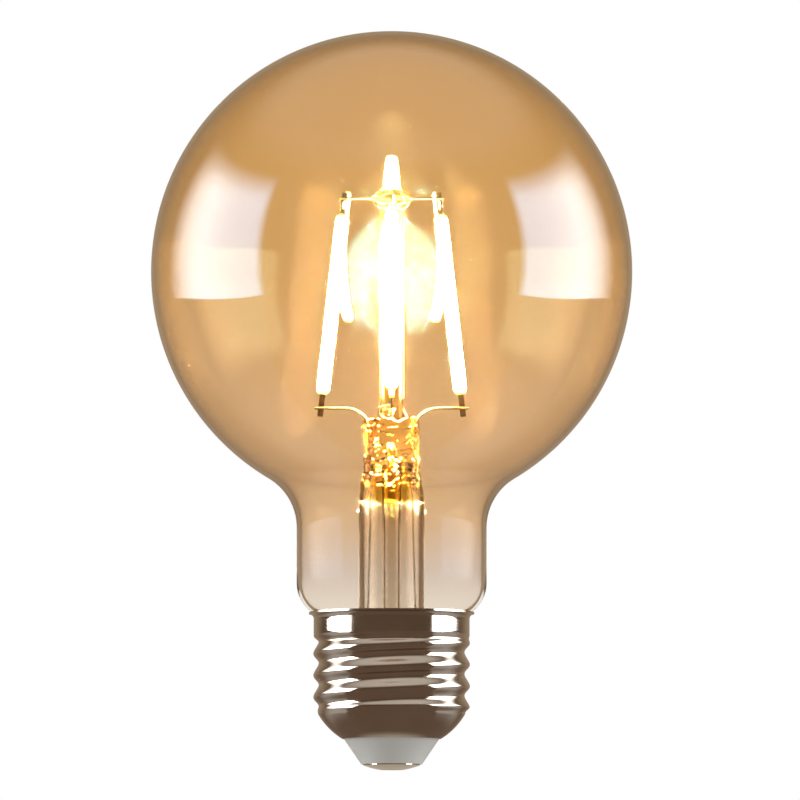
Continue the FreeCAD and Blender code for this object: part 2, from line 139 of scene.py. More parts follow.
bm = bmesh.new()
foot = bm.verts.new((seal_radius, 0, seal_foot))
end = straight(bm, foot, seal_radius, seal_root[1], parts=4)
end = arc(bm, end, seal_root, -seal_turn, steps=8)
end = arc(bm, end, neck_shoulder, seal_turn, steps=20)
end = straight(bm, end, end.co.x, neck_root[1], parts=16)
end = arc(bm, end, neck_root, -neck_root_turn, steps=24)
arc(bm, end, globe_centre, 90 + neck_root_turn, steps=110)
end = bm.verts.new((0, 0, globe_centre[1] + globe_radius - globe_wall))
end = arc(bm, end, globe_centre, -90 - neck_root_turn, steps=110)
end = arc(bm, end, neck_root, neck_root_turn, steps=24)
end = straight(bm, end, end.co.x, neck_shoulder[1], parts=16)
end = arc(bm, end, neck_shoulder, -seal_turn, steps=20)
end = arc(bm, end, seal_root, seal_turn, steps=8)
end = straight(bm, end, seal_radius - globe_wall, seal_foot, parts=4)
bm.edges.new((end, foot))
turn(bm, steps=192)

# Amber coated glass: clear and bright. Its metal oxide coat passes amber and mirrors blue. The inside is fire
# polished, and the outside has a faint haze, which spreads the filaments' light to a soft glow. The index falls
# down the neck with the coat, so that the foot hardly mirrors.
coat_by_height = (
    (25, "#F5EEE4"), (33, "#E9DED4"), (42, "#EBD5BA"), (60, "#EDD4B2"), (84, "#E8CDA3"), (124, "#E8CCA0"),
)
coat_top = coat_by_height[-1][0]
haze_cloud = 14 * MM
outer_haze = (0.02, 0.038)
inner_haze = (0, 0.005)
foot_to_neck = (29 * MM, 34 * MM)
neck_to_globe = (40 * MM, 50 * MM)
foot_index, neck_index, globe_index = 1.02, 1.12, 1.51


def coated_glass(name, clearest, haziest):
    """Amber glass whose coat thins out down the neck, with a roughness that drifts between two values."""
    material, tree = new_material(name)
    coords = add_node(tree, "ShaderNodeTexCoord")
    height = add_node(tree, "ShaderNodeSeparateXYZ", {0: coords.outputs["Object"]})
    share = add_node(tree, "ShaderNodeMapRange", {"Value": height.outputs["Z"], "From Max": coat_top * MM})
    coat = add_node(tree, "ShaderNodeValToRGB", {0: share.outputs[0]})
    coat.color_ramp.elements.remove(coat.color_ramp.elements[1])
    for level, colour in coat_by_height:
        coat.color_ramp.elements.new(level / coat_top).color = linear(colour)
    coat.color_ramp.elements.remove(coat.color_ramp.elements[0])
    cloud = add_node(tree, "ShaderNodeTexNoise", {
        "Vector": coords.outputs["Object"], "Scale": 1 / haze_cloud,
    })
    haze = add_node(tree, "ShaderNodeMapRange", {
        "Value": cloud.outputs[0], "To Min": clearest, "To Max": haziest,
    })
    below = add_node(tree, "ShaderNodeMapRange", {
        "Value": height.outputs["Z"], "From Min": foot_to_neck[0], "From Max": foot_to_neck[1],
        "To Min": foot_index, "To Max": neck_index,
    }, interpolation_type="SMOOTHSTEP")
    above = add_node(tree, "ShaderNodeMapRange", {
        "Value": height.outputs["Z"], "From Min": neck_to_globe[0], "From Max": neck_to_globe[1],
        "To Min": 0, "To Max": globe_index - neck_index,
    }, interpolation_type="SMOOTHSTEP")
    index = add_node(tree, "ShaderNodeMath", {0: below.outputs[0], 1: above.outputs[0]}, operation="ADD")
    glass = add_node(tree, "ShaderNodeBsdfPrincipled", {
        "Base Color": coat.outputs[0],
        "Roughness": haze.outputs[0],
        "IOR": index.outputs[0],
        "Specular Tint": linear("#84C2FF"),
        "Transmission Weight": 1,
    })
    let_lamps_through(tree, glass, "#F1E2C8")
    return material


for face in bm.faces:
    middle = face.calc_center_median()
    inside = face.normal.dot(middle - Vector((0, 0, min(middle.z, globe_centre[1])))) < 0
    face.material_index = int(inside)
outer_glass = coated_glass("amber_coated_glass", *outer_haze)
inner_glass = coated_glass("amber_glass_fire_polished", *inner_haze)
globe = finish_piece(bm, "globe", outer_glass, "amber_glass", "globe_envelope")
globe.data.materials.append(inner_glass)


# Stem: clear lead glass, worked hot into one body. The tube is flared at its foot, squeezed flat round the
# wires at its top, and carries the rod with its melted bead. The exhaust tube hangs inside it, with its tip
# melted shut.
flare_centre = (10.1 * MM, 23.1 * MM)
flare_lip = (11.4 * MM, 18.48 * MM)
flare_lip_height = 0.88 * MM
tube_outer = 5.5 * MM
tube_inner = 4.6 * MM
press_foot = 44.8 * MM
press_waist = 53.3 * MM
press_top = 58.8 * MM
press_round = 0.6 * MM
press_half_thickness = 2.1 * MM
press_half_waist = 4.4 * MM
press_half_top = 4.8 * MM
press_squareness = 1.6
hollow_roof = 51.2 * MM
hollow_half_width = 3.1 * MM
hollow_half_depth = 1.95 * MM
rod_radius = 1.95 * MM
rod_fillet = 0.9 * MM
bead_low = 94.267 * MM
bead_centre = (1.408 * MM, 95.817 * MM)
bead_turn = 70.72
dome_centre = (0, 93.8145 * MM)
dome_turn = 28.76
exhaust_radius = 1.6 * MM
exhaust_bore = 1.1 * MM
exhaust_tip = (0, 15.8 * MM)
exhaust_top = 54.6 * MM
skin = 0.01 * MM


def eased(low, high, value):
    """0 below low, 1 above high and a smooth rise between them."""
    share = min(max((value - low) / (high - low), 0), 1)
    return share * share * (3 - 2 * share)


def squeezed(point, wall, core, half_width, half_depth, flat):
    """Where a point of the turned tube goes when its wall is squeezed flat, with soft corners, round a core."""
    radius = math.hypot(point.x, point.y)
    around = Vector((point.x / radius, point.y / radius))
    power = 2 / (2 + press_squareness * flat)
    rim = Vector([math.copysign(abs(a) ** power, a) for a in around])
    rim = Vector((rim.x * half_width, rim.y * half_depth))
    out = (radius - core) / (wall - core)
    place = around * core * (1 - out) + rim * out
    return Vector((place.x, place.y, point.z))


bm = bmesh.new()
lip = bm.verts.new((flare_lip[0], 0, flare_lip[1]))
end = straight(bm, lip, flare_centre[0], flare_lip[1])
end = arc(bm, end, flare_centre, -90, steps=16)
end = straight(bm, end, tube_outer, press_foot, parts=12)
end = straight(bm, end, tube_outer, press_top - press_round, parts=60)
end = arc(bm, end, (tube_outer - press_round, press_top - press_round), 90, steps=5)
end = straight(bm, end, rod_radius + rod_fillet, press_top, parts=8)
end = arc(bm, end, (rod_radius + rod_fillet, press_top + rod_fillet), -90, steps=6)
end = straight(bm, end, rod_radius, bead_low, parts=60)
end = arc(bm, end, bead_centre, 2 * bead_turn, steps=20)
arc(bm, end, dome_centre, dome_turn, steps=8)
end = straight(bm, lip, flare_lip[0], flare_lip[1] - flare_lip_height)
end = straight(bm, end, flare_centre[0], end.co.z)
end = arc(bm, end, flare_centre, -90, steps=16)
end = straight(bm, end, tube_inner, press_foot, parts=12)
end = straight(bm, end, tube_inner, hollow_roof, parts=26)
end = straight(bm, end, exhaust_radius, hollow_roof, parts=6)
end = straight(bm, end, exhaust_radius, exhaust_tip[1], parts=40)
arc(bm, end, exhaust_tip, -90, steps=8)
turn(bm, steps=96)
for vert in bm.verts:
    x, y, z = vert.co
    radius = math.hypot(x, y)
    flat = eased(press_foot, press_waist, z)
    on_outside = radius > tube_inner + skin and z > press_foot
    over_waist = radius > rod_radius + skin and z > press_waist
    if on_outside or over_waist:
        spread = eased(press_waist, press_top, z) * (press_half_top - press_half_waist)
        half_width = tube_outer + (press_half_waist - tube_outer) * flat + spread
        half_depth = tube_outer + (press_half_thickness - tube_outer) * flat
        if z < press_top + rod_fillet:
            vert.co = squeezed(vert.co, tube_outer, rod_radius, half_width, half_depth, flat)
    elif radius > exhaust_radius + skin and press_foot < z < press_waist:
        flat = eased(press_foot, hollow_roof, z)
        half_width = tube_inner + (hollow_half_width - tube_inner) * flat
        half_depth = tube_inner + (hollow_half_depth - tube_inner) * flat
        vert.co = squeezed(vert.co, tube_inner, exhaust_radius, half_width, half_depth, flat)

# The jaws leave the press lumpy, and the rod's foot and bead are uneven where they were melted on.
press_lump = 2.6 * MM
press_ripple = 0.42 * MM
press_fold = 1.7 * MM
press_fold_ripple = 0.34 * MM
press_fold_flatness = 2.4
lumps_begin = (46 * MM, 50 * MM)
lumps_end = (59.2 * MM, 63 * MM)
bead_lump = 1.9 * MM
bead_ripple = 0.16 * MM
bead_begin = (92.5 * MM, 94.5 * MM)
lump_seed = 3
noise.seed_set(lump_seed)
for vert in bm.verts:
    x, y, z = vert.co
    near_press = eased(*lumps_begin, z) * (1 - eased(*lumps_end, z))
    near_bead = eased(*bead_begin, z)
    if math.hypot(x, y) > exhaust_radius + skin:
        lump = noise.noise_vector(vert.co / press_lump) * press_ripple
        fold = noise.noise_vector(Vector((x, y, press_fold_flatness * z)) / press_fold) * press_fold_ripple
        vert.co += (lump + fold) * near_press
        vert.co += noise.noise_vector(vert.co / bead_lump) * bead_ripple * near_bead

# The exhaust tube's bore is a closed hollow inside the glass, so its faces look into it.
bore = bm.verts.new((0, 0, exhaust_tip[1] - exhaust_bore))
end = arc(bm, bore, exhaust_tip, 90, steps=8)
end = straight(bm, end, exhaust_bore, exhaust_top - exhaust_bore, parts=40)
arc(bm, end, (0, exhaust_top - exhaust_bore), 90, steps=8)
profile = [v for v in bm.verts if not v.link_faces]
profile += [e for e in bm.edges if not e.link_faces]
bmesh.ops.spin(bm, geom=profile, cent=(0, 0, 0), axis=(0, 0, 1), angle=2 * math.pi, steps=48, use_merge=True)
bmesh.ops.remove_doubles(bm, verts=bm.verts, dist=weld_gap)
bore_faces = [
    f for f in bm.faces
    if max(math.hypot(v.co.x, v.co.y) for v in f.verts) < exhaust_bore + skin
    and min(v.co.z for v in f.verts) > exhaust_tip[1] - exhaust_bore - skin
    and f.calc_center_median().z < exhaust_top
]
bmesh.ops.recalc_face_normals(bm, faces=bore_faces)
bmesh.ops.reverse_faces(bm, faces=bore_faces)

# Clear worked glass: bright and fire polished, with a trace of straw in the thick of the press and the rod. Its
# seal at the foot is tinted dark grey-brown as painted shade for the cap's shadow. The tube's index is low, as
# the neck's is, so that it shows as fine lines.
straw_cloud = 4 * MM
straw_begin = (press_foot - 1 * MM, press_foot + 1 * MM)
painted_seal_shade = (27 * MM, 24.5 * MM)
tube_to_press = (press_foot - 5 * MM, press_foot + 1 * MM)
tube_index, press_index = 1.2, 1.52
clear_glass, tree = new_material("clear_worked_glass")
coords = add_node(tree, "ShaderNodeTexCoord")
cloud = add_node(tree, "ShaderNodeTexNoise", {"Vector": coords.outputs["Object"], "Scale": 1 / straw_cloud})
tone = add_node(tree, "ShaderNodeMix", {
    0: cloud.outputs[0], 6: linear("#EEE9E1"), 7: linear("#F5F2EC"),
}, data_type="RGBA")
height = add_node(tree, "ShaderNodeSeparateXYZ", {0: coords.outputs["Object"]})
# First the straw tint, then the seal's dark grey-brown painted shade for the cap's shadow.
for (first, last), tint in ((straw_begin, "#ECDC92"), (painted_seal_shade, "#7A6E60")):
    within = add_node(tree, "ShaderNodeMapRange", {
        "Value": height.outputs["Z"], "From Min": first, "From Max": last,
    }, interpolation_type="SMOOTHSTEP")
    tone = add_node(tree, "ShaderNodeMix", {
        0: within.outputs[0], 6: tone.outputs[2], 7: linear(tint),
    }, data_type="RGBA")
index = add_node(tree, "ShaderNodeMapRange", {
    "Value": height.outputs["Z"], "From Min": tube_to_press[0], "From Max": tube_to_press[1],
    "To Min": tube_index, "To Max": press_index,
}, interpolation_type="SMOOTHSTEP")
glass = add_node(tree, "ShaderNodeBsdfPrincipled", {
    "Base Color": tone.outputs[2], "Roughness": 0, "IOR": index.outputs[0], "Transmission Weight": 1,
})
let_lamps_through(tree, glass, "#F6F3EC")
finish_piece(bm, "stem", clear_glass, "clear_glass", "stem_flare", "centre_rod", "exhaust_tube")


# Wires: nickel-iron wire, drawn and bent, held in the press and the bead and welded to the filaments' tabs.
# It is a little duller in patches, and copper clad where the press is sealed to it.
wire_tarnish = 1.6 * MM
wire_roughness = (0.42, 0.25)
copper_foot = 46.5 * MM
wire_metal, tree = new_material("tarnished_nickel_iron")
coords = add_node(tree, "ShaderNodeTexCoord")
patches = add_node(tree, "ShaderNodeTexNoise", {
    "Vector": coords.outputs["Object"], "Scale": 1 / wire_tarnish, "Detail": 4,
})
tone = add_node(tree, "ShaderNodeMix", {
    0: patches.outputs[0], 6: linear("#6A665A"), 7: linear("#938E7D"),
}, data_type="RGBA")
height = add_node(tree, "ShaderNodeSeparateXYZ", {0: coords.outputs["Object"]})
above_foot = add_node(tree, "ShaderNodeMath", {
    0: height.outputs["Z"], 1: copper_foot,
}, operation="GREATER_THAN")
above_press = add_node(tree, "ShaderNodeMath", {
    0: height.outputs["Z"], 1: press_top,
}, operation="GREATER_THAN")
sealed = add_node(tree, "ShaderNodeMath", {
    0: above_foot.outputs[0], 1: above_press.outputs[0],
}, operation="SUBTRACT")
tone = add_node(tree, "ShaderNodeMix", {
    0: sealed.outputs[0], 6: tone.outputs[2], 7: linear("#8E6238"),
}, data_type="RGBA")
dull = add_node(tree, "ShaderNodeMapRange", {
    "Value": patches.outputs[0], "To Min": wire_roughness[0], "To Max": wire_roughness[1],
})
metal = add_node(tree, "ShaderNodeBsdfPrincipled", {
    "Base Color": tone.outputs[2], "Metallic": 1, "Roughness": dull.outputs[0],
})
add_node(tree, "ShaderNodeOutputMaterial", {"Surface": metal.outputs[0]})


def finish_nodes(material, *names):
    """Give CAD nodes that stay in view their finish."""
    for name in names:
        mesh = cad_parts[name].data
        mesh.materials.clear()
        mesh.materials.append(material)


finish_nodes(wire_metal, "lead_wire_left", "lead_wire_right", "branch_wire_front", "branch_wire_rear",
             "upper_wires", "live_wire", "neutral_wire")


# Filament tabs: the flat ends of the filaments, stamped from copper-plated strip and welded to the wires. The
# heat of the welds has browned them in patches.
tab_stain = 0.8 * MM
tab_metal, tree = new_material("browned_copper_strip")
coords = add_node(tree, "ShaderNodeTexCoord")
stains = add_node(tree, "ShaderNodeTexNoise", {
    "Vector": coords.outputs["Object"], "Scale": 1 / tab_stain, "Detail": 5,
})
tone = add_node(tree, "ShaderNodeMix", {
    0: stains.outputs[0], 6: linear("#4E3420"), 7: linear("#83603F"),
}, data_type="RGBA")
metal = add_node(tree, "ShaderNodeBsdfPrincipled", {
    "Base Color": tone.outputs[2], "Metallic": 0.8, "Roughness": 0.45,
})
add_node(tree, "ShaderNodeOutputMaterial", {"Surface": metal.outputs[0]})
sides = ("left", "right", "front", "rear")
tabs = [end + "_tab_" + side for end in ("upper", "lower") for side in sides]
finish_nodes(tab_metal, *tabs)


# Filaments: rows of small light chips on a strip, cast in a yellow silicone coat. The coat glows evenly along
# its length and falls off to yellow in the drawn-in tips, where there are no chips.
filament_glow = 1400
tip_glow = 1.6
filament_low = 63.0 * MM
filament_high = 93.2 * MM
tip_fade = 1.6 * MM
chip_pitch = 1.05 * MM
chip_beat = (0.8, 1.1)
wave_at_scale_one = 0.314
light_coat, tree = new_material("glowing_silicone_coat")
coords = add_node(tree, "ShaderNodeTexCoord")
height = add_node(tree, "ShaderNodeSeparateXYZ", {0: coords.outputs["Object"]})
from_low = add_node(tree, "ShaderNodeMapRange", {
    "Value": height.outputs["Z"], "From Min": filament_low, "From Max": filament_low + tip_fade,
}, interpolation_type="SMOOTHSTEP")
from_high = add_node(tree, "ShaderNodeMapRange", {
    "Value": height.outputs["Z"], "From Min": filament_high, "From Max": filament_high - tip_fade,
}, interpolation_type="SMOOTHSTEP")
along = add_node(tree, "ShaderNodeMath", {
    0: from_low.outputs[0], 1: from_high.outputs[0],
}, operation="MULTIPLY")
chips = add_node(tree, "ShaderNodeTexWave", {
    "Vector": coords.outputs["Object"], "Scale": wave_at_scale_one / chip_pitch,
}, bands_direction="Z")
beat = add_node(tree, "ShaderNodeMapRange", {
    "Value": chips.outputs[1], "To Min": chip_beat[0], "To Max": chip_beat[1],
})
lit_part = add_node(tree, "ShaderNodeMath", {0: along.outputs[0], 1: beat.outputs[0]}, operation="MULTIPLY")
strength = add_node(tree, "ShaderNodeMapRange", {
    "Value": lit_part.outputs[0], "To Min": tip_glow, "To Max": filament_glow,
})
tone = add_node(tree, "ShaderNodeMix", {
    0: along.outputs[0], 6: linear("#FFD24A"), 7: linear("#FFDDA6"),
}, data_type="RGBA")
coat = add_node(tree, "ShaderNodeBsdfPrincipled", {
    "Base Color": linear("#E8C34A"),
    "Roughness": 0.5,
    "Emission Color": tone.outputs[2],
    "Emission Strength": strength.outputs[0],
})
add_node(tree, "ShaderNodeOutputMaterial", {"Surface": coat.outputs[0]})
finish_nodes(light_coat, *["led_filament_" + side for side in sides])

# The chips shine out sideways, so their tabs get next to no light, and the cap keeps it from what it holds.
inside_cap = ("basing_cement", "driver_board", "bridge_rectifier", "driver_chip", "smoothing_capacitor",
              "fusible_resistor", "live_wire", "neutral_wire")
in_shade = bpy.data.collections.new("out_of_filament_light")
for name in (*tabs, *inside_cap):
    in_shade.objects.link(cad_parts[name])
for shaded in in_shade.collection_objects:
    shaded.light_linking.link_state = "EXCLUDE"
for side in sides:
    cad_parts["led_filament_" + side].light_linking.receiver_collection = in_shade


# Screw shell: thin brass strip drawn to a cup, its round thread rolled in, its rim rolled out, then nickel
# plated. The thread is a rounded wave with the longer flank on top, and fades into the skirt and the cone.
shell_wall = 0.3 * MM
skirt_radius = 13.05 * MM
rim_centre = (13.85 * MM, 25.25 * MM)
thread_crest = 13.1 * MM
thread_root = 12.2 * MM
thread_pitch = 3.629 * MM
thread_top = 22.5 * MM
thread_top_fade = 1.2 * MM
thread_bottom = 9.3 * MM
thread_bottom_fade = 1.3 * MM
thread_left_crest = 15.9 * MM
thread_lean = 0.22
cone_top = (12.3 * MM, 9.3 * MM)
cone_foot = (8.3 * MM, 5.2 * MM)
cone_bulge = 0.35 * MM

bm = bmesh.new()
chord = Vector((cone_top[0] - cone_foot[0], cone_top[1] - cone_foot[1]))
bow_radius = (chord.length ** 2 / 4 + cone_bulge ** 2) / (2 * cone_bulge)
inward = Vector((-chord.y, chord.x)).normalized()
bow_centre = Vector(cone_foot) + chord / 2 + inward * (bow_radius - cone_bulge)
bow_turn = 2 * math.degrees(math.asin(chord.length / 2 / bow_radius))
end = bm.verts.new((cone_foot[0], 0, cone_foot[1]))
end = arc(bm, end, bow_centre, bow_turn, steps=16)
end = straight(bm, end, skirt_radius, thread_top, parts=120)
end = straight(bm, end, skirt_radius, rim_centre[1], parts=6)
arc(bm, end, rim_centre, -90, steps=10)
turn(bm, steps=160)
for vert in bm.verts:
    x, y, z = vert.co
    if thread_bottom < z < thread_top:
        at_top = eased(thread_top - thread_top_fade, thread_top, z)
        at_foot = 1 - eased(thread_bottom, thread_bottom + thread_bottom_fade, z)
        crest, root = [
            full + (skirt_radius - full) * at_top + (cone_top[0] - full) * at_foot
            for full in (thread_crest, thread_root)
        ]
        turned = math.pi + 2 * math.pi * (z - thread_left_crest) / thread_pitch
        around = math.atan2(y, x) - turned
        flank = math.cos(around - thread_lean * math.cos(around))
        size = ((crest + root) / 2 + (crest - root) / 2 * flank) / math.hypot(x, y)
        vert.co = (x * size, y * size, z)
bmesh.ops.recalc_face_normals(bm, faces=bm.faces)
bmesh.ops.solidify(bm, geom=bm.faces[:], thickness=-shell_wall)

# Nickel plate: warm grey and bright, with fine rings left by rolling and faint handling marks that dull it in
# patches.
roll_mark = 0.22 * MM
roll_depth = 0.01 * MM
roll_stretch = 0.03
handling = 5 * MM
handling_range = (0.3, 0.7)
plate_roughness = (0.06, 0.13)
nickel, tree = new_material("rolled_nickel_plate")
coords = add_node(tree, "ShaderNodeTexCoord")
ringed = add_node(tree, "ShaderNodeMapping", {
    "Vector": coords.outputs["Object"], "Scale": (roll_stretch, roll_stretch, 1),
})
rings = add_node(tree, "ShaderNodeTexNoise", {
    "Vector": ringed.outputs[0], "Scale": 1 / roll_mark, "Detail": 3,
})
smears = add_node(tree, "ShaderNodeTexNoise", {
    "Vector": coords.outputs["Object"], "Scale": 1 / handling, "Detail": 5,
})
dull = add_node(tree, "ShaderNodeMapRange", {
    "Value": smears.outputs[0], "From Min": handling_range[0], "From Max": handling_range[1],
    "To Min": plate_roughness[0], "To Max": plate_roughness[1],
})
tone = add_node(tree, "ShaderNodeMix", {
    0: smears.outputs[0], 6: linear("#C3B7AA"), 7: linear("#D9D0C6"),
}, data_type="RGBA")
bump = add_node(tree, "ShaderNodeBump", {
    "Height": rings.outputs[0], "Distance": roll_depth, "Strength": 0.35,
})
metal = add_node(tree, "ShaderNodeBsdfPrincipled", {
    "Base Color": tone.outputs[2], "Metallic": 1, "Roughness": dull.outputs[0], "Normal": bump.outputs[0],
})
add_node(tree, "ShaderNodeOutputMaterial", {"Surface": metal.outputs[0]})
finish_piece(bm, "screw_cap_shell", nickel, "plated_shell", "screw_shell")


# Insulator: pale thermoset, moulded into the shell's foot. It is nearly matt, with a fine grain and faint
# clouds from the mould.
mould_grain = 0.35 * MM
mould_grain_depth = 0.008 * MM
mould_cloud = 4.667 * MM
pale_moulding, tree = new_material("pale_thermoset")
coords = add_node(tree, "ShaderNodeTexCoord")
grain = add_node(tree, "ShaderNodeTexNoise", {
    "Vector": coords.outputs["Object"], "Scale": 1 / mould_grain, "Detail": 3,
})
cloud = add_node(tree, "ShaderNodeTexNoise", {
    "Vector": coords.outputs["Object"], "Scale": 1 / mould_cloud, "Detail": 2,
})
tone = add_node(tree, "ShaderNodeMix", {
    0: cloud.outputs[0], 6: linear("#D6D8D6"), 7: linear("#E4E5E3"),
}, data_type="RGBA")
bump = add_node(tree, "ShaderNodeBump", {
    "Height": grain.outputs[0], "Distance": mould_grain_depth, "Strength": 0.4,
})
moulding = add_node(tree, "ShaderNodeBsdfPrincipled", {
    "Base Color": tone.outputs[2], "Roughness": 0.42, "IOR": 1.5, "Normal": bump.outputs[0],
})
add_node(tree, "ShaderNodeOutputMaterial", {"Surface": moulding.outputs[0]})
finish_nodes(pale_moulding, "cap_insulator")


# Centre contact: brass disc, pressed to a shallow dome and riveted through the insulator. It is nickel plated,
# as the shell is.
finish_nodes(nickel, "centre_contact")


# Basing cement: resin and marble flour, baked hard between the neck and the shell. It is matt, with a sandy
# break at its edge.
cement_grit = 0.3 * MM
cement_grit_depth = 0.1 * MM
cement, tree = new_material("baked_basing_cement")
coords = add_node(tree, "ShaderNodeTexCoord")
grit = add_node(tree, "ShaderNodeTexNoise", {
    "Vector": coords.outputs["Object"], "Scale": 1 / cement_grit, "Detail": 6,
})
tone = add_node(tree, "ShaderNodeMix", {
    0: grit.outputs[0], 6: linear("#8F8272"), 7: linear("#C9BDAA"),
}, data_type="RGBA")
bump = add_node(tree, "ShaderNodeBump", {
    "Height": grit.outputs[0], "Distance": cement_grit_depth, "Strength": 0.6,
})
stone = add_node(tree, "ShaderNodeBsdfPrincipled", {
    "Base Color": tone.outputs[2], "Roughness": 0.9, "Normal": bump.outputs[0],
})
add_node(tree, "ShaderNodeOutputMaterial", {"Surface": stone.outputs[0]})
finish_nodes(cement, "basing_cement")


# Driver board: round glass-fibre laminate, set on the insulator's collar inside the cap. Its green solder mask
# is smooth, and the weave shows through as a faint check.
weave = 0.4 * MM
board_green, tree = new_material("green_masked_laminate")
coords = add_node(tree, "ShaderNodeTexCoord")
check = add_node(tree, "ShaderNodeTexChecker", {
    "Vector": coords.outputs["Object"], "Scale": 1 / weave,
    "Color1": linear("#1F5A37"), "Color2": linear("#256A41"),
})
laminate = add_node(tree, "ShaderNodeBsdfPrincipled", {"Base Color": check.outputs[0], "Roughness": 0.35})
add_node(tree, "ShaderNodeOutputMaterial", {"Surface": laminate.outputs[0]})
finish_nodes(board_green, "driver_board")


# Board components: rectifier and chip moulded in black epoxy, a capacitor can in a shrunk sleeve, and a
# lacquered resistor, all fixed to the board.
def moulded(name, dark, light, grain_size, roughness):
    """A moulded or lacquered finish, slightly uneven in tone at the size of its grain."""
    material, tree = new_material(name)
    coords = add_node(tree, "ShaderNodeTexCoord")
    grain = add_node(tree, "ShaderNodeTexNoise", {
        "Vector": coords.outputs["Object"], "Scale": 1 / grain_size, "Detail": 4,
    })
    tone = add_node(tree, "ShaderNodeMix", {
        0: grain.outputs[0], 6: linear(dark), 7: linear(light),
    }, data_type="RGBA")
    body = add_node(tree, "ShaderNodeBsdfPrincipled", {"Base Color": tone.outputs[2], "Roughness": roughness})
    add_node(tree, "ShaderNodeOutputMaterial", {"Surface": body.outputs[0]})
    return material


black_epoxy = moulded("black_epoxy", "#141414", "#2A2A2A", grain_size=0.2 * MM, roughness=0.55)
shrunk_sleeve = moulded("shrunk_sleeve", "#1B2433", "#26324A", grain_size=0.8 * MM, roughness=0.3)
lacquer = moulded("resistor_lacquer", "#7C9AA6", "#9BB7C0", grain_size=0.5 * MM, roughness=0.4)
finish_nodes(black_epoxy, "bridge_rectifier", "driver_chip")
finish_nodes(shrunk_sleeve, "smoothing_capacitor")
finish_nodes(lacquer, "fusible_resistor")


# Floor: plain pale paper under the bulb, which runs out into the white behind. The camera stands a little below
# it, so only its upper side shows. Mirrors show it as a painted reflection: a dark table, lighter towards the
# rear, that ends in front, with painted light shining towards the soft boxes, painted shadow round the bulb's
# foot and a painted pale patch under the contact. Matt surfaces see it as even grey.
floor_radius = 3
table_front = -245 * MM
table_rear = (-20 * MM, 120 * MM)
box_front = (math.radians(60), math.radians(66))
box_rear = (math.radians(130), math.radians(96))
# Painted shadow round the bulb's foot, seen in mirrors: the painted soft-box light fades in between these
# reaches.
painted_shadow_reach = (14 * MM, 30 * MM)
# Painted pale patch under the contact, seen only in mirrors, so that the contact shows a light reflection.
painted_contact_light = (5 * MM, 9 * MM)
paper_fade = (100 * MM, 260 * MM)
half_a_bounce = 0.5


def turn_from_front(tree, place):
    """How far round from the front a place lies, the same on both sides, in radians."""
    across = add_node(tree, "ShaderNodeMath", {0: place.outputs["X"]}, operation="ABSOLUTE")
    to_front = add_node(tree, "ShaderNodeMath", {0: place.outputs["Y"], 1: -1}, operation="MULTIPLY")
    around = add_node(tree, "ShaderNodeMath", {
        0: across.outputs[0], 1: to_front.outputs[0],
    }, operation="ARCTAN2")
    return around.outputs[0]


paper, tree = new_material("pale_paper")
rays = add_node(tree, "ShaderNodeLightPath")
mirrored = add_node(tree, "ShaderNodeMath", {
    0: rays.outputs["Glossy Depth"], 1: half_a_bounce,
}, operation="GREATER_THAN")
coords = add_node(tree, "ShaderNodeTexCoord")
place = add_node(tree, "ShaderNodeSeparateXYZ", {0: coords.outputs["Object"]})
aside = turn_from_front(tree, place)
reach = add_node(tree, "ShaderNodeVectorMath", {0: coords.outputs["Object"]}, operation="LENGTH")
# Painted light from the soft boxes on the mirrored table, fading out to painted shadow round the bulb's foot.
shine = add_node(tree, "ShaderNodeMapRange", {
    "Value": reach.outputs["Value"], "From Min": painted_shadow_reach[0], "From Max": painted_shadow_reach[1],
}, interpolation_type="SMOOTHSTEP")
for first, last in (box_front, box_rear):
    edge = add_node(tree, "ShaderNodeMapRange", {
        "Value": aside, "From Min": first, "From Max": last,
    }, interpolation_type="SMOOTHSTEP")
    shine = add_node(tree, "ShaderNodeMath", {0: shine.outputs[0], 1: edge.outputs[0]}, operation="MULTIPLY")
to_rear = add_node(tree, "ShaderNodeMapRange", {
    "Value": place.outputs["Y"], "From Min": table_rear[0], "From Max": table_rear[1],
}, interpolation_type="SMOOTHSTEP")
bare_table = add_node(tree, "ShaderNodeMix", {
    0: to_rear.outputs[0], 6: linear("#6E5B4D"), 7: linear("#A08D78"),
}, data_type="RGBA")
table = add_node(tree, "ShaderNodeMix", {
    0: shine.outputs[0], 6: bare_table.outputs[2], 7: linear("#B8B4AE"),
}, data_type="RGBA")
on_table = add_node(tree, "ShaderNodeMath", {
    0: place.outputs["Y"], 1: table_front,
}, operation="GREATER_THAN")
image = add_node(tree, "ShaderNodeMix", {
    0: on_table.outputs[0], 6: linear("#655445"), 7: table.outputs[2],
}, data_type="RGBA")
# Painted light: a pale patch right under the contact, so that the contact reflects light instead of the shade
# there.
past_painted_contact_light = add_node(tree, "ShaderNodeMapRange", {
    "Value": reach.outputs["Value"], "From Min": painted_contact_light[0], "From Max": painted_contact_light[1],
}, interpolation_type="SMOOTHSTEP")
image = add_node(tree, "ShaderNodeMix", {
    0: past_painted_contact_light.outputs[0], 6: linear("#C4BAAC"), 7: image.outputs[2],
}, data_type="RGBA")
plain = add_node(tree, "ShaderNodeMix", {
    0: rays.outputs["Is Transmission Ray"], 6: linear("#B4B0AA"), 7: linear("#FFFFFF"),
}, data_type="RGBA")
unlit = add_node(tree, "ShaderNodeMix", {
    0: mirrored.outputs[0], 6: plain.outputs[2], 7: image.outputs[2],
}, data_type="RGBA")
unlit = add_node(tree, "ShaderNodeEmission", {"Color": unlit.outputs[2], "Strength": 1})
sheet = add_node(tree, "ShaderNodeBsdfDiffuse", {"Color": linear("#F0EFED")})
white = add_node(tree, "ShaderNodeEmission", {"Color": linear("#FFFFFF"), "Strength": 1})
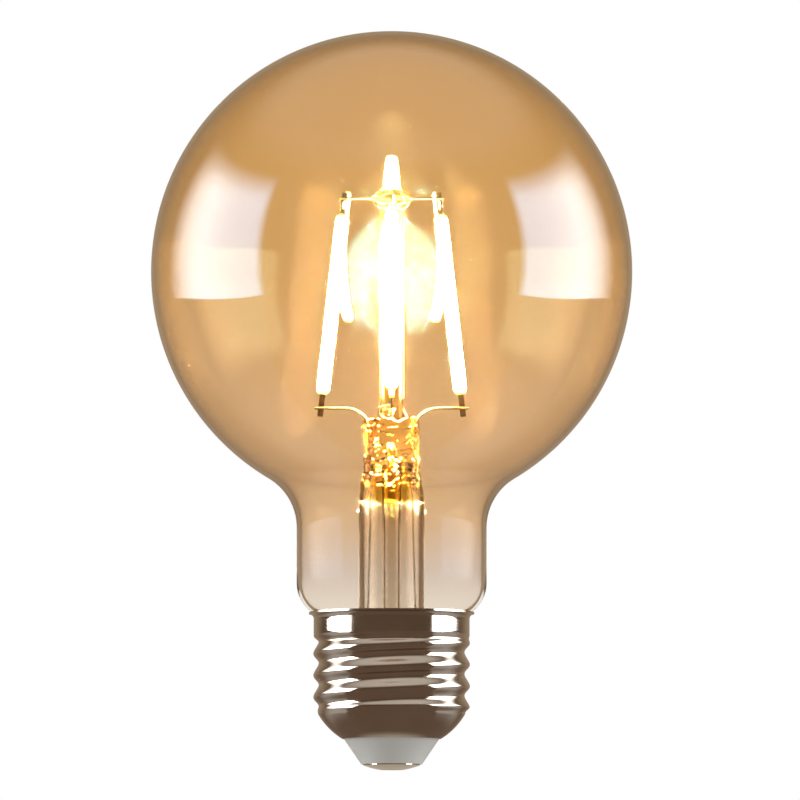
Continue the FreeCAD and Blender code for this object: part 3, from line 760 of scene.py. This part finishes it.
far_off = add_node(tree, "ShaderNodeMapRange", {
    "Value": reach.outputs["Value"], "From Min": paper_fade[0], "From Max": paper_fade[1],
}, interpolation_type="SMOOTHSTEP")
run_out = add_node(tree, "ShaderNodeMath", {
    0: far_off.outputs[0], 1: rays.outputs["Is Camera Ray"],
}, operation="MULTIPLY")
sheet = add_node(tree, "ShaderNodeMixShader", {
    0: run_out.outputs[0], 1: sheet.outputs[0], 2: white.outputs[0],
})
straight_on = add_node(tree, "ShaderNodeMath", {
    0: rays.outputs["Is Camera Ray"], 1: rays.outputs["Is Shadow Ray"],
}, operation="MAXIMUM")
shown = add_node(tree, "ShaderNodeMixShader", {
    0: straight_on.outputs[0], 1: unlit.outputs[0], 2: sheet.outputs[0],
})
side_seen = add_node(tree, "ShaderNodeNewGeometry")
clear = add_node(tree, "ShaderNodeBsdfTransparent")
upper_side = add_node(tree, "ShaderNodeMixShader", {
    0: side_seen.outputs["Backfacing"], 1: shown.outputs[0], 2: clear.outputs[0],
})
add_node(tree, "ShaderNodeOutputMaterial", {"Surface": upper_side.outputs[0]})
paper.cycles.emission_sampling = "NONE"
bm = bmesh.new()
bmesh.ops.create_circle(bm, cap_ends=True, segments=96, radius=floor_radius)
mesh = bpy.data.meshes.new("floor")
bm.to_mesh(mesh)
bm.free()
mesh.materials.append(paper)
floor = bpy.data.objects.new("floor", mesh)
bpy.context.scene.collection.objects.link(floor)


# Room: white behind the bulb, also where it is seen through glass, and dim overhead. Reflections show a dim,
# warm room with a pale ceiling, and matt surfaces get an even pale light.
ceiling_rise = (math.radians(38), math.radians(56))
backdrop_top = (math.radians(14), math.radians(36))
rear_wall = (0.4, 1)
room = bpy.data.worlds.new("studio_room")
room.use_nodes = True
tree = room.node_tree
tree.nodes.clear()
coords = add_node(tree, "ShaderNodeTexCoord")
look = add_node(tree, "ShaderNodeSeparateXYZ", {0: coords.outputs["Generated"]})
slope = add_node(tree, "ShaderNodeMath", {0: look.outputs["Z"]}, operation="ARCSINE")
ceiling = add_node(tree, "ShaderNodeMapRange", {
    "Value": slope.outputs[0], "From Min": ceiling_rise[0], "From Max": ceiling_rise[1],
}, interpolation_type="SMOOTHSTEP")
behind = add_node(tree, "ShaderNodeMapRange", {
    "Value": look.outputs["Y"], "From Min": rear_wall[0], "From Max": rear_wall[1],
}, interpolation_type="SMOOTHSTEP")
walls = add_node(tree, "ShaderNodeMix", {
    0: behind.outputs[0], 6: linear("#655445"), 7: linear("#A8967F"),
}, data_type="RGBA")
mirrored_room = add_node(tree, "ShaderNodeMix", {
    0: ceiling.outputs[0], 6: walls.outputs[2], 7: linear("#D4CEC6"),
}, data_type="RGBA")
overhead = add_node(tree, "ShaderNodeMapRange", {
    "Value": slope.outputs[0], "From Min": backdrop_top[0], "From Max": backdrop_top[1],
}, interpolation_type="SMOOTHSTEP")
backdrop = add_node(tree, "ShaderNodeMix", {
    0: overhead.outputs[0], 6: linear("#FFFFFF"), 7: linear("#3A3028"),
}, data_type="RGBA")
rays = add_node(tree, "ShaderNodeLightPath")
matt_light = add_node(tree, "ShaderNodeMix", {
    0: rays.outputs["Is Transmission Ray"], 6: linear("#A8A6A3"), 7: backdrop.outputs[2],
}, data_type="RGBA")
plain = add_node(tree, "ShaderNodeMix", {
    0: rays.outputs["Is Camera Ray"], 6: matt_light.outputs[2], 7: linear("#FFFFFF"),
}, data_type="RGBA")
mirrored = add_node(tree, "ShaderNodeMath", {
    0: rays.outputs["Glossy Depth"], 1: half_a_bounce,
}, operation="GREATER_THAN")
shown = add_node(tree, "ShaderNodeMix", {
    0: mirrored.outputs[0], 6: plain.outputs[2], 7: mirrored_room.outputs[2],
}, data_type="RGBA")
background = add_node(tree, "ShaderNodeBackground", {"Color": shown.outputs[2], "Strength": 1})
add_node(tree, "ShaderNodeOutputWorld", {"Surface": background.outputs[0]})
scene = bpy.context.scene
scene.world = room


# Soft boxes: two curved white cloths at the sides, which stand on the floor and rise clear of it to the rear.
# They show only in reflections, and a lamp in front of each lights the matt surfaces.
box_distance = 0.4
box_first, box_last = 58, 132
box_height = 0.46
box_glow = 9
box_top_fade = (0.38, 0.26)
box_low_turn = (math.radians(62), math.radians(150))
box_low_rise = 80 * MM
box_low_fade = 4 * MM
lamp_size = 0.3
lamp_power = 1.5
lamp_place = (0.37, -0.06, 0.25)
lamp_aim = Vector((0, 0, 0.04))

cloth, tree = new_material("soft_box_cloth")
coords = add_node(tree, "ShaderNodeTexCoord")
place = add_node(tree, "ShaderNodeSeparateXYZ", {0: coords.outputs["Object"]})
aside = turn_from_front(tree, place)
low_edge = add_node(tree, "ShaderNodeMapRange", {
    "Value": aside, "From Min": box_low_turn[0], "From Max": box_low_turn[1], "To Max": box_low_rise,
}, interpolation_type="SMOOTHSTEP")
over_edge = add_node(tree, "ShaderNodeMath", {
    0: place.outputs["Z"], 1: low_edge.outputs[0],
}, operation="SUBTRACT")
glow = add_node(tree, "ShaderNodeMapRange", {
    "Value": over_edge.outputs[0], "From Max": box_low_fade, "To Max": box_glow,
}, interpolation_type="SMOOTHSTEP")
for value, (first, last) in ((aside, box_front), (aside, box_rear), (place.outputs["Z"], box_top_fade)):
    edge = add_node(tree, "ShaderNodeMapRange", {
        "Value": value, "From Min": first, "From Max": last,
    }, interpolation_type="SMOOTHSTEP")
    glow = add_node(tree, "ShaderNodeMath", {0: glow.outputs[0], 1: edge.outputs[0]}, operation="MULTIPLY")
rays = add_node(tree, "ShaderNodeLightPath")
mirrored = add_node(tree, "ShaderNodeMath", {
    0: rays.outputs["Glossy Depth"], 1: half_a_bounce,
}, operation="GREATER_THAN")
in_view = add_node(tree, "ShaderNodeMath", {
    0: mirrored.outputs[0], 1: rays.outputs["Is Shadow Ray"],
}, operation="SUBTRACT", use_clamp=True)
lit_cloth = add_node(tree, "ShaderNodeEmission", {"Color": linear("#FFFFFF"), "Strength": glow.outputs[0]})
clear = add_node(tree, "ShaderNodeBsdfTransparent")
both = add_node(tree, "ShaderNodeAddShader", {0: lit_cloth.outputs[0], 1: clear.outputs[0]})
seen = add_node(tree, "ShaderNodeMixShader", {0: in_view.outputs[0], 1: clear.outputs[0], 2: both.outputs[0]})
add_node(tree, "ShaderNodeOutputMaterial", {"Surface": seen.outputs[0]})
cloth.cycles.emission_sampling = "NONE"
for side in (-1, 1):
    bm = bmesh.new()
    low = bm.verts.new((0, -box_distance, 0))
    high = bmesh.ops.extrude_vert_indiv(bm, verts=[low])["verts"]
    bmesh.ops.translate(bm, verts=high, vec=(0, 0, box_height))
    bmesh.ops.rotate(bm, verts=bm.verts, cent=(0, 0, 0),
                     matrix=Matrix.Rotation(math.radians(side * box_first), 3, "Z"))
    bmesh.ops.spin(bm, geom=bm.verts[:] + bm.edges[:], cent=(0, 0, 0), axis=(0, 0, side),
                   angle=math.radians(box_last - box_first), steps=40)
    mesh = bpy.data.meshes.new("soft_box_cloth")
    bm.to_mesh(mesh)
    bm.free()
    mesh.materials.append(cloth)
    panel = bpy.data.objects.new("soft_box_cloth", mesh)
    scene.collection.objects.link(panel)
    lamp = bpy.data.lights.new("soft_box", "AREA")
    lamp.shape = "RECTANGLE"
    lamp.size = lamp_size
    lamp.size_y = lamp_size
    lamp.energy = lamp_power
    box = bpy.data.objects.new("soft_box", lamp)
    box.location = (side * lamp_place[0], lamp_place[1], lamp_place[2])
    box.rotation_euler = (lamp_aim - box.location).to_track_quat("-Z", "Y").to_euler()
    box.visible_camera = False
    box.visible_glossy = False
    box.visible_transmission = False
    scene.collection.objects.link(box)

# Light crosses many walls of glass on its way out of the bulb, so it is followed further than usual.
scene.view_settings.view_transform = "Standard"
scene.cycles.max_bounces = 32
scene.cycles.transmission_bounces = 32
scene.cycles.glossy_bounces = 16
scene.cycles.transparent_max_bounces = 32
scene.cycles.sample_clamp_indirect = 0


# Camera: long lens, a little below the cap's foot and tilted up, as the rim's curve shows.
view_width = 134.2 * MM
camera_side = 1.4 * MM
camera_distance = 1.2
camera_height = -37 * MM
aim = Vector((camera_side, 0, 62 * MM))
camera_data = bpy.data.cameras.new("camera")
camera_data.sensor_width = 36
camera = bpy.data.objects.new("camera", camera_data)
camera.location = (camera_side, -camera_distance, camera_height)
camera_data.lens = camera_data.sensor_width * (aim - camera.location).length / view_width
camera.rotation_euler = (aim - camera.location).to_track_quat("-Z", "Y").to_euler()
scene.collection.objects.link(camera)
scene.camera = camera
